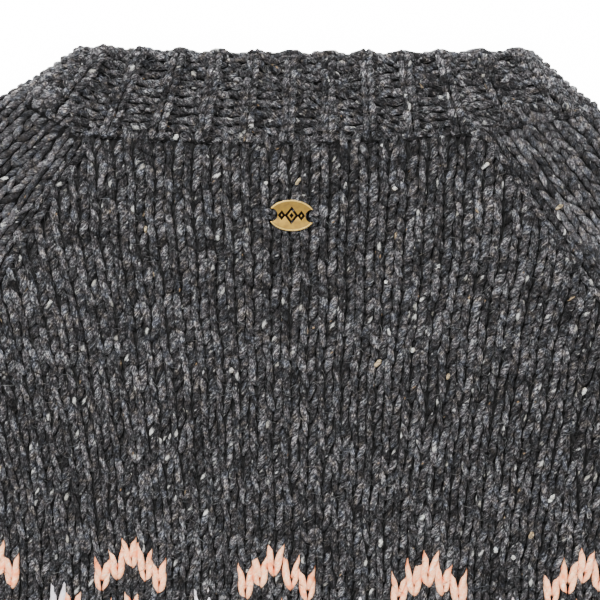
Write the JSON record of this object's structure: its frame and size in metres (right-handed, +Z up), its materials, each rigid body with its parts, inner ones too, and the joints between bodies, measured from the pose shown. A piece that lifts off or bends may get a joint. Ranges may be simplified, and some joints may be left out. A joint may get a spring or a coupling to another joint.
{
  "type": "wool sweater",
  "caption": "Chunky knitted raglan sweater laid flat with its back up, with ribbed neckband, cuffs and welt, a patterned band and a small brass plate.",
  "frame": {"origin": "middle of the sweater's outline, on the surface that it lies on", "axes": "+X to the right of the back as seen from above, +Y from the hem to the neck, +Z up from the surface"},
  "size_m": [1.2802, 0.6112, 0.0205],
  "materials": {
    "wool": "chunky stocking stitch in heathered charcoal tweed wool",
    "rib": "ribbing of one knit and two purl stitches in the same yarn",
    "brass": "antique brass with a worn bright rim"
  },
  "bodies": {
    "root": {"back_panel": "wool", "front_panel": "wool", "sleeve_left": "wool", "sleeve_right": "wool", "neckband": "rib", "hem_rib_back": "rib", "hem_rib_front": "rib", "cuff_left": "rib", "cuff_right": "rib", "badge": "brass"}
  },
  "joints": []
}
